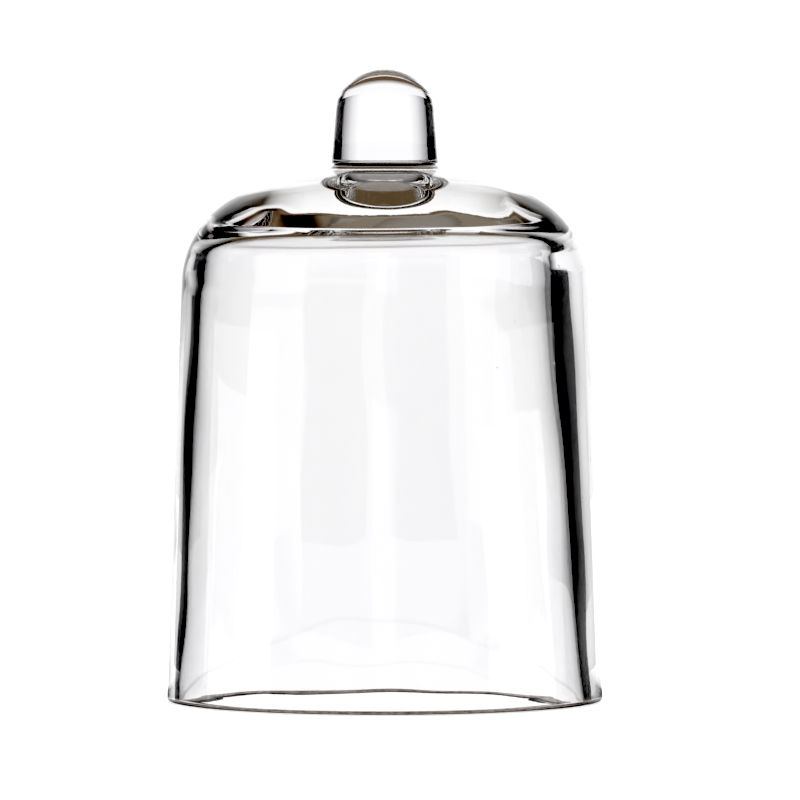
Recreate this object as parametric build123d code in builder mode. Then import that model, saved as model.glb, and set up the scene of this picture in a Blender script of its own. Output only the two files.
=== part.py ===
from build123d import *
from math import sqrt
import os

# Bell jar dome: a hand-blown glass cloche with a solid knob.
# Millimetres, +Z up, origin on the axis in the plane of the open rim.

# Blown body, outside
rim_radius = 90.0
shoulder_corner_radius = 83.2
crown_height = 220.6
crown_radius = 160.0
shoulder_round = 41.0

# Blown body, inside
bore_rim_radius = 83.8
bore_corner_radius = 70.5
ceiling_height = 200.8
ceiling_radius = 216.0
ceiling_round = 12.0

# Lip, ground flat underneath
lip_round = 1.2

# Collar between the crown and the knob
collar_foot_radius = 25.5
collar_top_radius = 21.0
collar_top_height = 221.8

# Solid knob
knob_base_radius = 22.0
knob_corner_radius = 19.85
knob_height = 260.7
knob_cap_radius = 22.0
knob_shoulder_round = 14.0
knob_edge_round = 0.4


def cap_height(apex, radius, offset):
    """Height of a spherical cap at an offset from its axis."""
    return apex - radius + sqrt(radius**2 - offset**2)


shoulder_corner = (shoulder_corner_radius, cap_height(crown_height, crown_radius, shoulder_corner_radius))
bore_corner = (bore_corner_radius, cap_height(ceiling_height, ceiling_radius, bore_corner_radius))
collar_foot = (collar_foot_radius, cap_height(crown_height, crown_radius, collar_foot_radius))
knob_corner = (knob_corner_radius, cap_height(knob_height, knob_cap_radius, knob_corner_radius))

os.makedirs("parts", exist_ok=True)

# The blown body: a tapering wall under a thick crown, open at the rim
with BuildPart() as dome_shell:
    with BuildSketch(Plane.XZ) as shell_profile:
        with BuildLine() as shell_outline:
            land = Line((bore_rim_radius, 0), (rim_radius, 0))
            wall = Line(land @ 1, shoulder_corner)
            crown = RadiusArc(wall @ 1, (0, crown_height), -crown_radius)
            axis_edge = Line(crown @ 1, (0, ceiling_height))
            ceiling = RadiusArc(axis_edge @ 1, bore_corner, ceiling_radius)
            bore = Line(ceiling @ 1, land @ 0)
        make_face()
        shoulder = shell_profile.vertices().sort_by_distance(shoulder_corner)[0]
        fillet(shoulder, radius=shoulder_round)
        inner_corner = shell_profile.vertices().sort_by_distance(bore_corner)[0]
        fillet(inner_corner, radius=ceiling_round)
        lip_corners = shell_profile.vertices().group_by(Axis.Y)[0]
        fillet(lip_corners, radius=lip_round)
    revolve(axis=Axis.Z)
dome_shell.part.label = "dome_shell"
export_step(dome_shell.part, "parts/dome_shell.step")

# The collar: a small bit of glass fused on the crown, flaring down to meet it
with BuildPart() as neck_collar:
    with BuildSketch(Plane.XZ) as collar_profile:
        with BuildLine() as collar_outline:
            seat = RadiusArc((0, crown_height), collar_foot, crown_radius)
            flare = TangentArc(seat @ 1, (collar_top_radius, collar_top_height), tangent=-(seat % 1))
            collar_top = Line(flare @ 1, (0, collar_top_height))
            collar_axis = Line(collar_top @ 1, seat @ 0)
        make_face()
    revolve(axis=Axis.Z)
neck_collar.part.label = "neck_collar"
export_step(neck_collar.part, "parts/neck_collar.step")

# The knob: a solid bullet of glass, a little wider than the collar it stands on
with BuildPart() as knob:
    with BuildSketch(Plane.XZ) as knob_profile:
        with BuildLine() as knob_outline:
            base = Line((0, collar_top_height), (knob_base_radius, collar_top_height))
            side = Line(base @ 1, knob_corner)
            cap = RadiusArc(side @ 1, (0, knob_height), -knob_cap_radius)
            knob_axis = Line(cap @ 1, base @ 0)
        make_face()
        cap_corner = knob_profile.vertices().sort_by_distance(knob_corner)[0]
        fillet(cap_corner, radius=knob_shoulder_round)
        lower_edge = knob_profile.vertices().sort_by_distance((knob_base_radius, collar_top_height))[0]
        fillet(lower_edge, radius=knob_edge_round)
    revolve(axis=Axis.Z)
knob.part.label = "knob"
export_step(knob.part, "parts/knob.step")
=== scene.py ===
import math
import bpy
import numpy as np
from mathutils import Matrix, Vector


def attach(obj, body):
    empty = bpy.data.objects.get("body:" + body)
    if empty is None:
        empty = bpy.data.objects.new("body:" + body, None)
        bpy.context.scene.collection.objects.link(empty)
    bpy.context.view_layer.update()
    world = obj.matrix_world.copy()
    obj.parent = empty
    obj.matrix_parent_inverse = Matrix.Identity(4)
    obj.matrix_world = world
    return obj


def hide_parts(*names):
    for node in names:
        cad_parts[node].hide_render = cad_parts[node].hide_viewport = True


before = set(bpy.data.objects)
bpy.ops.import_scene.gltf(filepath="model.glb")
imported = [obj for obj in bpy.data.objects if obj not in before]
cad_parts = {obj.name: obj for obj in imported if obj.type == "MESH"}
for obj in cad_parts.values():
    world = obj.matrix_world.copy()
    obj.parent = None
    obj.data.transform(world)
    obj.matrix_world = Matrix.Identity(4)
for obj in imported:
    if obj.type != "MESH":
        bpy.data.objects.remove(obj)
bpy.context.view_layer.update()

MM = 0.001

# ---------------------------------------------------------------- sizes in millimetres, as in the CAD part
RIM_R = 90.0
SHOULDER_R = 83.2
CROWN_Z = 220.6
CROWN_CAP = 160.0
SHOULDER_ROUND = 41.0

BORE_R = 83.8
BORE_TOP_R = 70.5
CEILING_Z = 200.8
CEILING_CAP = 216.0
CEILING_ROUND = 12.0

LIP = 1.2

FOOT_R = 25.5
NECK_R = 21.0
NECK_Z = 221.8

KNOB_R = 22.0
KNOB_TOP_R = 19.85
KNOB_Z = 260.7
KNOB_CAP = 22.0
KNOB_ROUND = 14.0
KNOB_EDGE = 0.4

# ---------------------------------------------------------------- how finely the profiles are divided
SPOKES = 384
ANGLES = [2 * math.pi * k / SPOKES for k in range(SPOKES)]

# (rows up the wall, round the corner, in over the cap)
OUTSIDE_ROWS = (80, 90, 120)
BORE_ROWS = (80, 60, 110)
KNOB_ROWS = (50, 80, 60)

LIP_ROWS = 9
SEAT_ROWS = 14
FLARE_ROWS = 26
NECK_TOP_ROWS = 6
EDGE_ROWS = 8

# gaps that keep a stretch's rows off the first row of the next
FOOT_GAP = 0.15
EDGE_GAP = 0.05
ON_AXIS = 1e-6

# ---------------------------------------------------------------- waviness of the glass, in millimetres
# (waves round the axis, twist for each mm of height, phase, depth)
OUTER_LOBES = [(3, 0.031, 0.4, 0.040), (5, -0.047, 2.1, 0.030),
               (8, 0.062, 4.4, 0.018), (13, -0.083, 1.3, 0.008)]
INNER_LOBES = [(2, 0.024, 1.2, 0.090), (4, -0.043, 3.6, 0.070), (7, 0.071, 0.3, 0.045),
               (11, -0.094, 5.1, 0.020), (17, 0.118, 2.6, 0.008)]

# the bore leans to -X: a little at the rim, more with height, and back to none under the ceiling
LEAN_AT_RIM = 0.9
LEAN_PER_MM = 0.011
LEAN_GROWS_TO = 165.0
LEAN_ENDS = 204.0
LEAN_FADE = 34.0
LEAN_FULL_R = 60.0

# where the waviness of the body and the knob fades out
CALM_R = 27.0
CALM_FADE = 25.0
LIP_CALM = 0.25
LIP_FADE = 8.0
KNOB_WAVE = 0.45
KNOB_CALM = 0.5
KNOB_FADE = 6.0
KNOB_FULL_R = 12.0


def cap_z(apex, radius, offset):
    """Height of a spherical cap at an offset from its axis."""
    return apex - radius + math.sqrt(radius ** 2 - offset ** 2)


def bell(foot, top_r, apex, cap_radius, rounding, divisions):
    """Rows (r, z) up a tapering wall, round its shoulder and in over a spherical cap to the axis."""
    wall_rows, round_rows, cap_rows = divisions
    corner = (top_r, cap_z(apex, cap_radius, top_r))
    length = math.hypot(corner[0] - foot[0], corner[1] - foot[1])
    ux, uz = (corner[0] - foot[0]) / length, (corner[1] - foot[1]) / length
    px, pz = foot[0] - uz * rounding, foot[1] + ux * rounding
    centre_z = apex - cap_radius
    dx, dz = px, pz - centre_z
    b = dx * ux + dz * uz
    c = dx * dx + dz * dz - (cap_radius - rounding) ** 2
    t = -b + math.sqrt(b * b - c)
    fx, fz = px + t * ux, pz + t * uz
    rows = [(foot[0] + ux * s, foot[1] + uz * s) for s in np.linspace(0, t, wall_rows)]
    a0 = math.atan2(-ux, uz)
    a1 = math.atan2(fz - centre_z, fx)
    rows += [(fx + rounding * math.cos(a), fz + rounding * math.sin(a))
             for a in np.linspace(a0, a1, round_rows)[1:]]
    edge = cap_radius * math.cos(a1)
    rows += [(r, cap_z(apex, cap_radius, r)) for r in np.linspace(edge, 0, cap_rows)[1:]]
    return rows


def arc(cr, cz, radius, a0, a1, count):
    """Rows along an arc in the profile plane, angles in degrees."""
    return [(cr + radius * math.cos(math.radians(a)), cz + radius * math.sin(math.radians(a)))
            for a in np.linspace(a0, a1, count)]


def flare_arc(start, end, cap_radius, count):
    """Rows along an arc that leaves a spherical cap smoothly at start, and ends at end."""
    nr = start[0] / cap_radius
    nz = math.sqrt(1 - nr ** 2)
    dr, dz = start[0] - end[0], start[1] - end[1]
    radius = -(dr * dr + dz * dz) / (2 * (dr * nr + dz * nz))
    cr, cz = start[0] + radius * nr, start[1] + radius * nz
    a0 = math.atan2(start[1] - cz, start[0] - cr)
    a1 = math.atan2(end[1] - cz, end[0] - cr)
    if a1 > a0:
        a1 -= 2 * math.pi
    return [(cr + radius * math.cos(a), cz + radius * math.sin(a)) for a in np.linspace(a0, a1, count)]


def fade(value, start, length):
    """0 up to start, rising to 1 over length."""
    return min(1.0, max(0.0, (value - start) / length))


def swell(angle, z, lobes):
    return sum(depth * math.sin(waves * angle + twist * z + phase) for waves, twist, phase, depth in lobes)


def bore_shift(z):
    """The bore leans a little to one side of the outside, as in hand-blown glass."""
    lean = LEAN_AT_RIM + LEAN_PER_MM * min(z, LEAN_GROWS_TO)
    return -lean * min(1.0, max(0.0, (LEAN_ENDS - z) / LEAN_FADE))


def body_hold(r, z):
    """Waviness fades out towards the axis and the collar, and is slight at the ground lip."""
    return fade(r, CALM_R, CALM_FADE) * min(1.0, max(LIP_CALM, z / LIP_FADE))


def collar_hold(r, z):
    """The collar has no waviness, so that it meets the crown and the knob exactly."""
    return 0.0


def knob_hold(r, z):
    """Waviness fades out towards the knob's foot and its axis."""
    return KNOB_WAVE * fade(z, NECK_Z + KNOB_CALM, KNOB_FADE) * min(1.0, r / KNOB_FULL_R)


# ---------------------------------------------------------------- turned meshes
def turn_rows(rows, hold, bore_rows):
    """The rows turned about the axis: the vertices, and the numbers of each row's vertices.
    hold gives how much waviness a row has. The first bore_rows rows are the bore, and lean with it."""
    verts, index = [], []
    for j, (r, z) in enumerate(rows):
        if r < ON_AXIS:
            index.append([len(verts)])
            verts.append((0.0, 0.0, z * MM))
            continue
        r0, z0 = rows[max(j - 1, 0)]
        r1, z1 = rows[min(j + 1, len(rows) - 1)]
        size = math.hypot(r1 - r0, z1 - z0)
        nr, nz = (z1 - z0) / size, -(r1 - r0) / size
        in_bore = j < bore_rows
        lobes = INNER_LOBES if in_bore else OUTER_LOBES
        shift = bore_shift(z) * min(1.0, r / LEAN_FULL_R) if in_bore else 0.0
        strength = hold(r, z)
        index.append(range(len(verts), len(verts) + SPOKES))
        for a in ANGLES:
            d = swell(a, z, lobes) * strength
            rr, zz = r + nr * d, z + nz * d
            verts.append(((rr * math.cos(a) + shift) * MM, rr * MM * math.sin(a), zz * MM))
    return verts, index


def join_rows(index, slots):
    """The faces of the band between each two rows, and the material slot of each face."""
    faces, face_slots = [], []
    for low, high, slot in zip(index, index[1:], slots):
        for k in range(SPOKES):
            n = (k + 1) % SPOKES
            if len(low) == 1:
                faces.append((low[0], high[n], high[k]))
            elif len(high) == 1:
                faces.append((low[k], low[n], high[0]))
            else:
                faces.append((low[k], low[n], high[n], high[k]))
            face_slots.append(slot)
    return faces, face_slots


def lathe(name, rows, slots, hold, bore_rows=0, sharp_rows=()):
    """A closed mesh turned about the axis. slots gives the material of each band between two rows."""
    verts, index = turn_rows(rows, hold, bore_rows)
    faces, face_slots = join_rows(index, slots)
    mesh = bpy.data.meshes.new(name)
    mesh.from_pydata(verts, [], faces)
    mesh.polygons.foreach_set("use_smooth", [True] * len(faces))
    mesh.polygons.foreach_set("material_index", face_slots)
    sharp = {v for j in sharp_rows for v in index[j]}
    for edge in mesh.edges:
        if sharp.issuperset(edge.vertices):
            edge.use_edge_sharp = True
    mesh.update()
    obj = bpy.data.objects.new(name, mesh)
    bpy.context.scene.collection.objects.link(obj)
    return obj


GLASS, FUSED, GROUND = 0, 1, 2

# the faces that two pieces share: the collar's seat on the crown, and its flat top under the knob
foot = (FOOT_R, cap_z(CROWN_Z, CROWN_CAP, FOOT_R))
seat = [(r, cap_z(CROWN_Z, CROWN_CAP, r)) for r in np.linspace(FOOT_R, 0, SEAT_ROWS)]
neck_top = [(r, NECK_Z) for r in np.linspace(NECK_R, 0, NECK_TOP_ROWS)]


def make_shell():
    """The blown body: from the middle of the ceiling down the bore, round the lip, and up over the crown."""
    bore = bell((BORE_R, 0), BORE_TOP_R, CEILING_Z, CEILING_CAP, CEILING_ROUND, BORE_ROWS)
    bore = [(r, z) for r, z in bore[::-1] if z > LIP]
    lip_in = arc(BORE_R + LIP, LIP, LIP, 180, 270, LIP_ROWS)
    lip_out = arc(RIM_R - LIP, LIP, LIP, -90, 0, LIP_ROWS)
    outside = bell((RIM_R, 0), SHOULDER_R, CROWN_Z, CROWN_CAP, SHOULDER_ROUND, OUTSIDE_ROWS)
    outside = [(r, z) for r, z in outside if z > LIP and r > FOOT_R + FOOT_GAP]
    rows = bore + lip_in + lip_out + outside + seat
    slots = [GLASS] * len(bore)
    slots += [GROUND] * (len(lip_in) + len(lip_out) - 1)
    slots += [GLASS] * (len(outside) + 1)
    slots += [FUSED] * (len(seat) - 1)
    return lathe("glass_body", rows, slots, body_hold, bore_rows=len(bore) + len(lip_in))


def make_collar():
    """The collar: out over its seat, up its flare, and in over its flat top."""
    flare = flare_arc(foot, (NECK_R, NECK_Z), CROWN_CAP, FLARE_ROWS)
    rows = seat[::-1] + flare[1:] + neck_top[1:]
    slots = [FUSED] * (len(seat) - 1)
    slots += [GLASS] * (len(flare) - 1)
    slots += [FUSED] * (len(neck_top) - 1)
    foot_row = len(seat) - 1
    top_row = foot_row + len(flare) - 1
    return lathe("glass_collar", rows, slots, collar_hold, sharp_rows=(foot_row, top_row))


def make_knob():
    """The knob: out over the collar's top, round its lower edge, up its side and in over its cap."""
    edge = arc(KNOB_R - KNOB_EDGE, NECK_Z + KNOB_EDGE, KNOB_EDGE, -90, 0, EDGE_ROWS)
    side = bell((KNOB_R, NECK_Z), KNOB_TOP_R, KNOB_Z, KNOB_CAP, KNOB_ROUND, KNOB_ROWS)
    side = [(r, z) for r, z in side if z > NECK_Z + KNOB_EDGE + EDGE_GAP]
    rows = neck_top[::-1] + edge + side
    slots = [FUSED] * (len(neck_top) - 1)
    slots += [GLASS] * (len(edge) + len(side))
    return lathe("glass_knob", rows, slots, knob_hold)


# ---------------------------------------------------------------- node helpers
def nodes_of(data):
    data.use_nodes = True
    data.node_tree.nodes.clear()
    return data.node_tree


def add(tree, kind, **values):
    node = tree.nodes.new(kind)
    for key, value in values.items():
        setattr(node, key, value)
    return node


def maths(tree, op, *args):
    node = add(tree, "ShaderNodeMath", operation=op)
    for i, value in enumerate(args):
        if isinstance(value, (int, float)):
            node.inputs[i].default_value = value
        else:
            tree.links.new(value, node.inputs[i])
    return node.outputs[0]


def length_of(tree, x, y):
    squares = [maths(tree, "MULTIPLY", side, side) for side in (x, y)]
    return maths(tree, "SQRT", maths(tree, "ADD", *squares))


def ramp(tree, value, lo, hi, stops):
    """Colour ramp over value from lo to hi. A stop is (value, shade), and a shade is a grey or a colour."""
    place = add(tree, "ShaderNodeMapRange")
    place.inputs["From Min"].default_value = lo
    place.inputs["From Max"].default_value = hi
    tree.links.new(value, place.inputs["Value"])
    node = add(tree, "ShaderNodeValToRGB")
    tree.links.new(place.outputs[0], node.inputs[0])
    marks = node.color_ramp.elements
    while len(marks) > 1:
        marks.remove(marks[-1])
    for i, (stop, shade) in enumerate(stops):
        shade = shade if isinstance(shade, tuple) else (shade, shade, shade)
        position = (stop - lo) / (hi - lo)
        mark = marks[0] if i == 0 else marks.new(position)
        mark.position = position
        mark.color = (*shade, 1.0)
    return node.outputs[0]


def blend(tree, share, low, high):
    """From low, at a share of 0, to high, at 1. low is a socket, and high is a socket or a colour."""
    node = add(tree, "ShaderNodeMix", data_type="RGBA")
    low_end, high_end = node.inputs[6], node.inputs[7]
    tree.links.new(share, node.inputs[0])
    tree.links.new(low, low_end)
    if isinstance(high, tuple):
        high_end.default_value = (*high, 1)
    else:
        tree.links.new(high, high_end)
    return node.outputs[2]


def new_material(name, shader_kind):
    """A material with one shader on its output: the material, its tree and the shader."""
    material = bpy.data.materials.new(name)
    tree = nodes_of(material)
    out = add(tree, "ShaderNodeOutputMaterial")
    shader = add(tree, shader_kind)
    tree.links.new(shader.outputs[0], out.inputs[0])
    return material, tree, shader


# ---------------------------------------------------------------- glass
GLASS_IOR = 1.5
STREAK_SCALE = 40.0
STREAK_DETAIL = 3.0
STREAK_STRETCH = 6.0
WAVE_SCALE = 28.0
WAVE_DETAIL = 1.0
WAVE_STRETCH = 2.0
BODY_WAVE_DEPTH = 0.00006
SOLID_WAVE_DEPTH = 0.00003
FINE_SCALE = 260.0
FINE_DETAIL = 2.0
FINE_DEPTH = 0.000002
SEED_SCALE = 95.0
SEED_SHARE = 0.06
SEED_SIZE = 0.06
SEED_CORE = 0.3
SEED_DEPTH = 0.0001
GRIT_SCALE = 400.0
GRIT_DETAIL = 3.0
GRIT_DEPTH = 0.00003
GROUND_ROUGHNESS = 0.3

CLEAR_STREAKS = [(0.35, (0.998, 0.996, 1.0)), (0.65, (0.988, 0.985, 0.993))]
SOLID_STREAKS = [(0.35, (0.968, 0.963, 0.975)), (0.65, (0.950, 0.944, 0.958))]
# painted shade: the ground lip's colour is dark brown, mottled by the grit, to draw a dark line along the
# foot of the glass
PAINTED_LIP_SHADE = [(0.3, (0.05, 0.04, 0.035)), (0.7, (0.22, 0.18, 0.15))]


def noise(tree, way, scale, detail, stretch=1.0):
    """Noise in metres of the object, drawn out along Z by stretch."""
    drawn = add(tree, "ShaderNodeMapping")
    drawn.inputs["Scale"].default_value = (1.0, 1.0, 1.0 / stretch)
    tree.links.new(way, drawn.inputs[0])
    node = add(tree, "ShaderNodeTexNoise")
    node.inputs["Scale"].default_value = scale
    node.inputs["Detail"].default_value = detail
    tree.links.new(drawn.outputs[0], node.inputs["Vector"])
    return node.outputs[0]


def bump(tree, height, depth, below=None):
    node = add(tree, "ShaderNodeBump")
    node.inputs["Strength"].default_value = 1.0
    node.inputs["Distance"].default_value = depth
    tree.links.new(height, node.inputs["Height"])
    if below:
        tree.links.new(below, node.inputs["Normal"])
    return node.outputs[0]


def seeds(tree, way):
    """A few round specks, trapped bubbles: 1 in a speck, 0 round it."""
    cells = add(tree, "ShaderNodeTexVoronoi")
    cells.inputs["Scale"].default_value = SEED_SCALE
    tree.links.new(way, cells.inputs["Vector"])
    split = add(tree, "ShaderNodeSeparateColor")
    tree.links.new(cells.outputs["Color"], split.inputs[0])
    chosen = maths(tree, "LESS_THAN", split.outputs[0], SEED_SHARE)
    near = add(tree, "ShaderNodeMapRange", interpolation_type="SMOOTHSTEP")
    near.inputs["From Min"].default_value = SEED_SIZE
    near.inputs["From Max"].default_value = SEED_CORE * SEED_SIZE
    tree.links.new(cells.outputs["Distance"], near.inputs["Value"])
    return maths(tree, "MULTIPLY", chosen, near.outputs[0])


def set_clear(shader, roughness):
    shader.inputs["Roughness"].default_value = roughness
    shader.inputs["IOR"].default_value = GLASS_IOR
    shader.inputs["Transmission Weight"].default_value = 1.0


def glass_material(name, streak_stops, wave_depth):
    """Clear blown glass: slow waves, faint drawn-out streaks, and a few seeds."""
    material, tree, shader = new_material(name, "ShaderNodeBsdfPrincipled")
    way = add(tree, "ShaderNodeTexCoord").outputs["Object"]
    streaks = noise(tree, way, STREAK_SCALE, STREAK_DETAIL, STREAK_STRETCH)
    tree.links.new(ramp(tree, streaks, 0, 1, streak_stops), shader.inputs["Base Color"])
    waves = bump(tree, noise(tree, way, WAVE_SCALE, WAVE_DETAIL, WAVE_STRETCH), wave_depth)
    fine = bump(tree, noise(tree, way, FINE_SCALE, FINE_DETAIL), FINE_DEPTH, waves)
    specks = bump(tree, seeds(tree, way), SEED_DEPTH, fine)
    tree.links.new(specks, shader.inputs["Normal"])
    set_clear(shader, 0.0)
    return material


def ground_material():
    """The ground edge of the lip: fine grit in its bumps, and a dark brown painted shade for its colour,
    which draws a dark line along the foot of the glass.
    """
    material, tree, shader = new_material("ground_lip", "ShaderNodeBsdfPrincipled")
    way = add(tree, "ShaderNodeTexCoord").outputs["Object"]
    grit = noise(tree, way, GRIT_SCALE, GRIT_DETAIL)
    tree.links.new(ramp(tree, grit, 0, 1, PAINTED_LIP_SHADE), shader.inputs["Base Color"])
    tree.links.new(bump(tree, grit, GRIT_DEPTH), shader.inputs["Normal"])
    set_clear(shader, GROUND_ROUGHNESS)
    return material


clear_glass = glass_material("blown_glass", CLEAR_STREAKS, BODY_WAVE_DEPTH)
solid_glass = glass_material("solid_glass", SOLID_STREAKS, SOLID_WAVE_DEPTH)
# the faces where two pieces are fused let light straight through, so that no joint shows in the glass
fused = new_material("fused_joint", "ShaderNodeBsdfTransparent")[0]
ground = ground_material()

# ---------------------------------------------------------------- pieces
shell = make_shell()
collar = make_collar()
knob = make_knob()

for piece, node, slot_name, glass in ((shell, "dome_shell", "shell_glass", clear_glass),
                                      (collar, "neck_collar", "collar_glass", solid_glass),
                                      (knob, "knob", "knob_glass", solid_glass)):
    for material in (glass, fused, ground):
        piece.data.materials.append(material)
    piece.visible_shadow = False
    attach(piece, "root")
    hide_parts(node)
    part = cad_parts[node]
    part.data.materials.clear()
    part.data.materials.append(glass)

# ---------------------------------------------------------------- stage, in metres
# azimuths are in degrees from +Y, behind the object, and grow towards +X
FLOOR_Z = -0.0005
FLOOR_HOLE = 0.001
FLOOR_R = 16.0
FLOOR_SHADE = (0.9, 0.9, 0.9)
WALL_R, WALL_LOW, WALL_TOP, WALL_STEPS = 12.0, -0.1, 12.0, 96
WALL_SHADE = (1.15, 1.15, 1.15)
RING_R, RING_TOP = 0.36, 0.20
SCREEN_R, SCREEN_LOW, SCREEN_TOP = 0.6, 0.07, 0.6
SIDE_CARD_R, SIDE_CARD_TOP = 0.45, 0.17
SIDE_CARD = (1.08, 1.075, 1.085)
CONTACT_IN, CONTACT_OUT, CONTACT_UP = 0.0004, 0.0002, 0.0002
BLACK = (0, 0, 0)

LIT = (1.10, 1.095, 1.105)
BROWN = (0.200, 0.150, 0.110)
SIDE_DARK = (0.035, 0.032, 0.030)
# the floor's light straight down through the dome, by distance from the axis: a painted pool of light and
# shade, with a painted dark ring under the rim and a pale one just outside it
POOL_R = 0.2
POOL = [(0.0, (0.45, 0.44, 0.43)), (0.070, (0.30, 0.28, 0.26)), (0.084, 0.07), (0.092, (0.75, 0.73, 0.70)),
        (0.105, (0.28, 0.24, 0.19)), (0.140, (0.26, 0.23, 0.19)), (POOL_R, (0.34, 0.32, 0.29))]
# how much of the floor's light is dark, by azimuth and by distance from the axis
DARK_BY_AZIMUTH = [(0, 0.0), (48, 0.0), (56, 1.0), (76, 1.0), (84, 0.0), (96, 0.0), (104, 1.0), (112, 1.0),
                   (120, 0.0), (180, 0.0)]
DARK_FAR_R = 0.5
DARK_BY_DISTANCE = [(0.0, 0.0), (0.088, 0.0), (0.098, 1.0), (DARK_FAR_R, 1.0)]
# the share of light that the screens pass, by azimuth
SCREEN_PASSES = [(20, 1.0), (29, 0.80), (34.5, 0.57), (41.5, 0.33), (45, 0.0)]


def stage_mesh(name, verts, faces, material, camera=False, glass=True):
    """A part of the studio, seen by the camera, by the glass, or by both."""
    mesh = bpy.data.meshes.new(name)
    mesh.from_pydata(verts, [], faces)
    mesh.update()
    obj = bpy.data.objects.new(name, mesh)
    bpy.context.scene.collection.objects.link(obj)
    mesh.materials.append(material)
    obj.visible_camera = camera
    obj.visible_shadow = obj.visible_diffuse = False
    obj.visible_glossy = obj.visible_transmission = glass
    return obj


def upright(radius, first, last, low, high, steps=24):
    """A strip that stands round the axis, from azimuth first to last."""
    verts = []
    for i in range(steps + 1):
        a = math.radians(first + (last - first) * i / steps)
        verts += [(radius * math.sin(a), radius * math.cos(a), h) for h in (low, high)]
    return verts, [(2 * i, 2 * i + 2, 2 * i + 3, 2 * i + 1) for i in range(steps)]


def annulus(near, far, height, steps=128):
    turns = np.linspace(0, 2 * math.pi, steps, endpoint=False)
    verts = [(r * math.sin(a), r * math.cos(a), height) for r in (near, far) for a in turns]
    return verts, [(i, (i + 1) % steps, steps + (i + 1) % steps, steps + i) for i in range(steps)]


def steepness(tree):
    """1 - sin(elevation) of the light path, whatever way the card itself faces."""
    up = add(tree, "ShaderNodeCombineXYZ")
    up.inputs[2].default_value = 1.0
    facing = add(tree, "ShaderNodeLayerWeight")
    facing.inputs["Blend"].default_value = 0.5
    tree.links.new(up.outputs[0], facing.inputs["Normal"])
    return facing.outputs["Facing"]


def at(degrees):
    """The steepness of an elevation."""
    return 1 - math.sin(math.radians(degrees))


def in_radians(stops):
    return [(math.radians(degrees), shade) for degrees, shade in stops]


def where(tree):
    place = add(tree, "ShaderNodeNewGeometry")
    split = add(tree, "ShaderNodeSeparateXYZ")
    tree.links.new(place.outputs["Position"], split.inputs[0])
    return split.outputs


def emitter(name, colour):
    material, tree, glow = new_material(name, "ShaderNodeEmission")
    glow.inputs[0].default_value = (*colour, 1)
    return material


def under_light():
    """What the glass sees below the horizon: pale when looked along, brown when looked down on steeply,
    and dark out to the sides."""
    material, tree, glow = new_material("under_light", "ShaderNodeEmission")
    x, y, z = where(tree)
    steep = steepness(tree)
    slope = ramp(tree, steep, 0, 1, [(0, BROWN), (at(33), BROWN), (at(27), LIT), (at(9), LIT), (1, LIT)])
    straight_down = ramp(tree, steep, 0, 1, [(0, 1.0), (at(60), 1.0), (at(45), 0.0), (1, 0.0)])
    off_axis = length_of(tree, x, y)
    # painted pool of light and shade on the floor under the dome, dark under the rim
    pool = ramp(tree, off_axis, 0.0, POOL_R, POOL)
    light = blend(tree, straight_down, slope, pool)
    azimuth = maths(tree, "ARCTAN2", maths(tree, "ABSOLUTE", x), y)
    at_side = ramp(tree, azimuth, 0, math.pi, in_radians(DARK_BY_AZIMUTH))
    outside = ramp(tree, off_axis, 0.0, DARK_FAR_R, DARK_BY_DISTANCE)
    light = blend(tree, maths(tree, "MULTIPLY", at_side, outside), light, SIDE_DARK)
    tree.links.new(light, glow.inputs[0])
    return material


def ring_material():
    """Black to level light, and clear to steep light."""
    material, tree, clear = new_material("ring_black", "ShaderNodeBsdfTransparent")
    passed = ramp(tree, steepness(tree), 0, 1, [(0, 1.0), (at(12.5), 1.0), (at(9), 0.0), (1, 0.0)])
    tree.links.new(passed, clear.inputs[0])
    return material


def screen_material():
    """A cloth that passes less light towards the sides."""
    material, tree, clear = new_material("graded_screen", "ShaderNodeBsdfTransparent")
    x, y, z = where(tree)
    azimuth = maths(tree, "ABSOLUTE", maths(tree, "ARCTAN2", x, maths(tree, "ABSOLUTE", y)))
    passed = ramp(tree, azimuth, 0.0, math.pi / 2, in_radians(SCREEN_PASSES))
    tree.links.new(passed, clear.inputs[0])
    return material


def floor_material():
    material, tree, shader = new_material("pale_floor", "ShaderNodeBsdfDiffuse")
    shader.inputs["Color"].default_value = (*FLOOR_SHADE, 1)
    return material


# the camera sees a plain floor, and the glass sees the under light in its place
verts, faces = annulus(FLOOR_HOLE, FLOOR_R, FLOOR_Z)
floor = stage_mesh("studio_floor", verts, faces, floor_material(), camera=True, glass=False)
floor.visible_diffuse = True
stage_mesh("under_light", verts, faces, under_light())

# a painted contact shadow: a black card under the ground lip, seen only by the glass, that draws a dark line
# where the lip stands on the floor
verts, faces = annulus(BORE_R * MM - CONTACT_IN, RIM_R * MM + CONTACT_OUT, FLOOR_Z + CONTACT_UP)
stage_mesh("painted_contact_shadow", verts, faces, emitter("contact_shadow_black", BLACK))

# stretches of a low black ring at the sides and in front, open where the pale side cards are
ring_black = ring_material()
for name, first, last in (("ring_right", 41, 74), ("ring_left", -74, -41), ("ring_front_right", 124, 172),
                          ("ring_front_left", -172, -124)):
    verts, faces = upright(RING_R, first, last, FLOOR_Z, RING_TOP)
    stage_mesh(name, verts, faces, ring_black)

# screens on both sides of the backdrop, that dim it gradually
screen = screen_material()
for name, first, last in (("screen_right", 20, 78), ("screen_left", -78, -20)):
    verts, faces = upright(SCREEN_R, first, last, SCREEN_LOW, SCREEN_TOP)
    stage_mesh(name, verts, faces, screen)

# pale cards at the sides, lower than the knob looks: the backdrop of the walls in a view from the side
side_card = emitter("side_card", SIDE_CARD)
for name, first, last in (("side_card_right", 78, 123), ("side_card_left", -123, -78)):
    verts, faces = upright(SIDE_CARD_R, first, last, FLOOR_Z, SIDE_CARD_TOP)
    stage_mesh(name, verts, faces, side_card)

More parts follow.
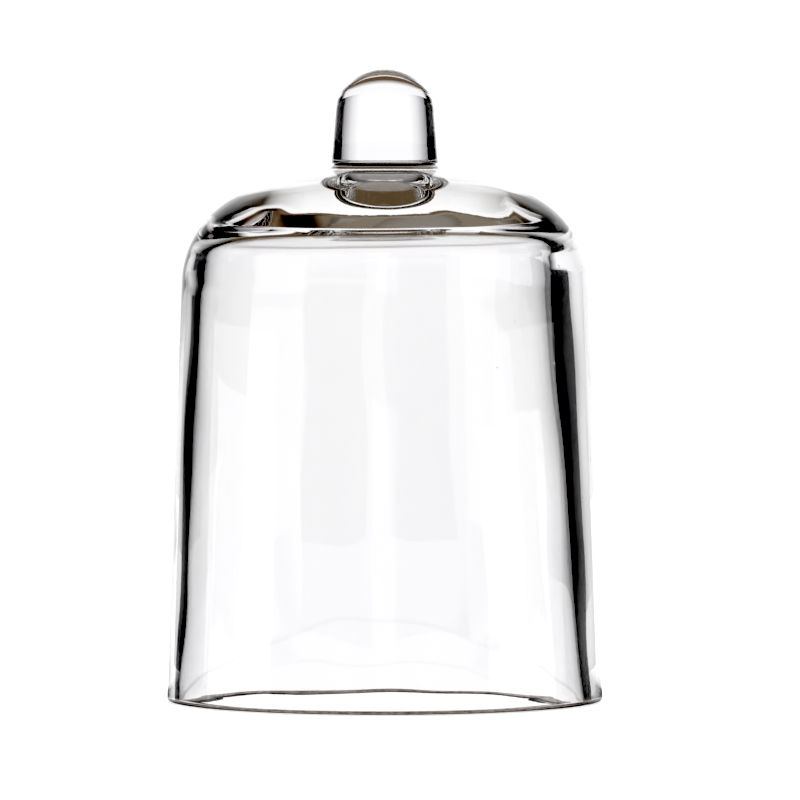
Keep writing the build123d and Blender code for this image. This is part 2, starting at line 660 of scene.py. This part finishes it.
# a far pale wall that closes the background above the floor
verts, faces = upright(WALL_R, 0, 360, WALL_LOW, WALL_TOP, WALL_STEPS)
stage_mesh("far_wall", verts, faces, emitter("far_wall", WALL_SHADE), camera=True, glass=False)

# ---------------------------------------------------------------- light
SUN_ENERGY = 3.9
SUN_WIDTH = 60
STUDIO_STRENGTH = 1.10
DARK = (0.160, 0.132, 0.100)
ZENITH = (0.110, 0.104, 0.098)
AROUND = (0.098, 0.090, 0.080)
# the studio by elevation, ahead of the camera and elsewhere, and the share of elsewhere by azimuth
AHEAD_BY_RISE = [(-90, 1.0), (-89, 1.0), (12, 1.0), (25, 0.86), (34, DARK), (50, DARK), (90, ZENITH)]
AROUND_BY_RISE = [(-90, AROUND), (35, AROUND), (50, DARK), (90, ZENITH)]
AROUND_BY_TURN = [(0, 0.0), (20, 0.0), (29, 0.2), (33, 0.5), (36, 1.0), (180, 1.0)]

sun_data = bpy.data.lights.new("soft_sun", "SUN")
sun_data.energy = SUN_ENERGY
sun_data.angle = math.radians(SUN_WIDTH)
sun = bpy.data.objects.new("soft_sun", sun_data)
bpy.context.scene.collection.objects.link(sun)
sun.visible_glossy = sun.visible_transmission = False


def make_world():
    """The studio round the object: a pale backdrop ahead, up to a height, and a dark room elsewhere."""
    world = bpy.data.worlds.new("studio")
    bpy.context.scene.world = world
    tree = nodes_of(world)
    out = add(tree, "ShaderNodeOutputWorld")
    glow = add(tree, "ShaderNodeBackground")
    way = add(tree, "ShaderNodeTexCoord")
    split = add(tree, "ShaderNodeSeparateXYZ")
    tree.links.new(way.outputs["Generated"], split.inputs[0])
    x, y, z = split.outputs
    degrees = 180 / math.pi
    rise = maths(tree, "MULTIPLY", maths(tree, "ARCTAN2", z, length_of(tree, x, y)), degrees)
    turn = maths(tree, "MULTIPLY", maths(tree, "ABSOLUTE", maths(tree, "ARCTAN2", x, y)), degrees)
    ahead = ramp(tree, rise, -90, 90, AHEAD_BY_RISE)
    around = ramp(tree, rise, -90, 90, AROUND_BY_RISE)
    pick = ramp(tree, turn, 0, 180, AROUND_BY_TURN)
    tree.links.new(blend(tree, pick, ahead, around), glow.inputs[0])
    glow.inputs["Strength"].default_value = STUDIO_STRENGTH
    tree.links.new(glow.outputs[0], out.inputs[0])


make_world()

# ---------------------------------------------------------------- camera
CAM_AWAY = 2.5
CAM_UP = 0.176
CAM_X = 0.0063
AIM_Z = 0.124
SEEN_WIDTH = 0.331
SENSOR = 36
CAM_REACH = 100

cam_data = bpy.data.cameras.new("camera")
cam = bpy.data.objects.new("camera", cam_data)
bpy.context.scene.collection.objects.link(cam)
cam.location = (CAM_X, -CAM_AWAY, CAM_UP)
look = Vector((CAM_X, 0, AIM_Z)) - cam.location
cam.rotation_euler = look.to_track_quat("-Z", "Y").to_euler()
cam_data.sensor_width = SENSOR
cam_data.lens = SENSOR * CAM_AWAY / SEEN_WIDTH
cam_data.clip_end = CAM_REACH
bpy.context.scene.camera = cam

# ---------------------------------------------------------------- tones and light bounces
BLACK_POINT = 0.09
GLASS_BOUNCES = 40
GLOSSY_BOUNCES = 20

scene = bpy.context.scene
scene.view_settings.view_transform = "Standard"
scene.view_settings.use_curve_mapping = True
levels = scene.view_settings.curve_mapping
levels.black_level = (BLACK_POINT, BLACK_POINT, BLACK_POINT)
levels.update()
scene.cycles.max_bounces = GLASS_BOUNCES
scene.cycles.transmission_bounces = GLASS_BOUNCES
scene.cycles.transparent_max_bounces = GLASS_BOUNCES
scene.cycles.glossy_bounces = GLOSSY_BOUNCES
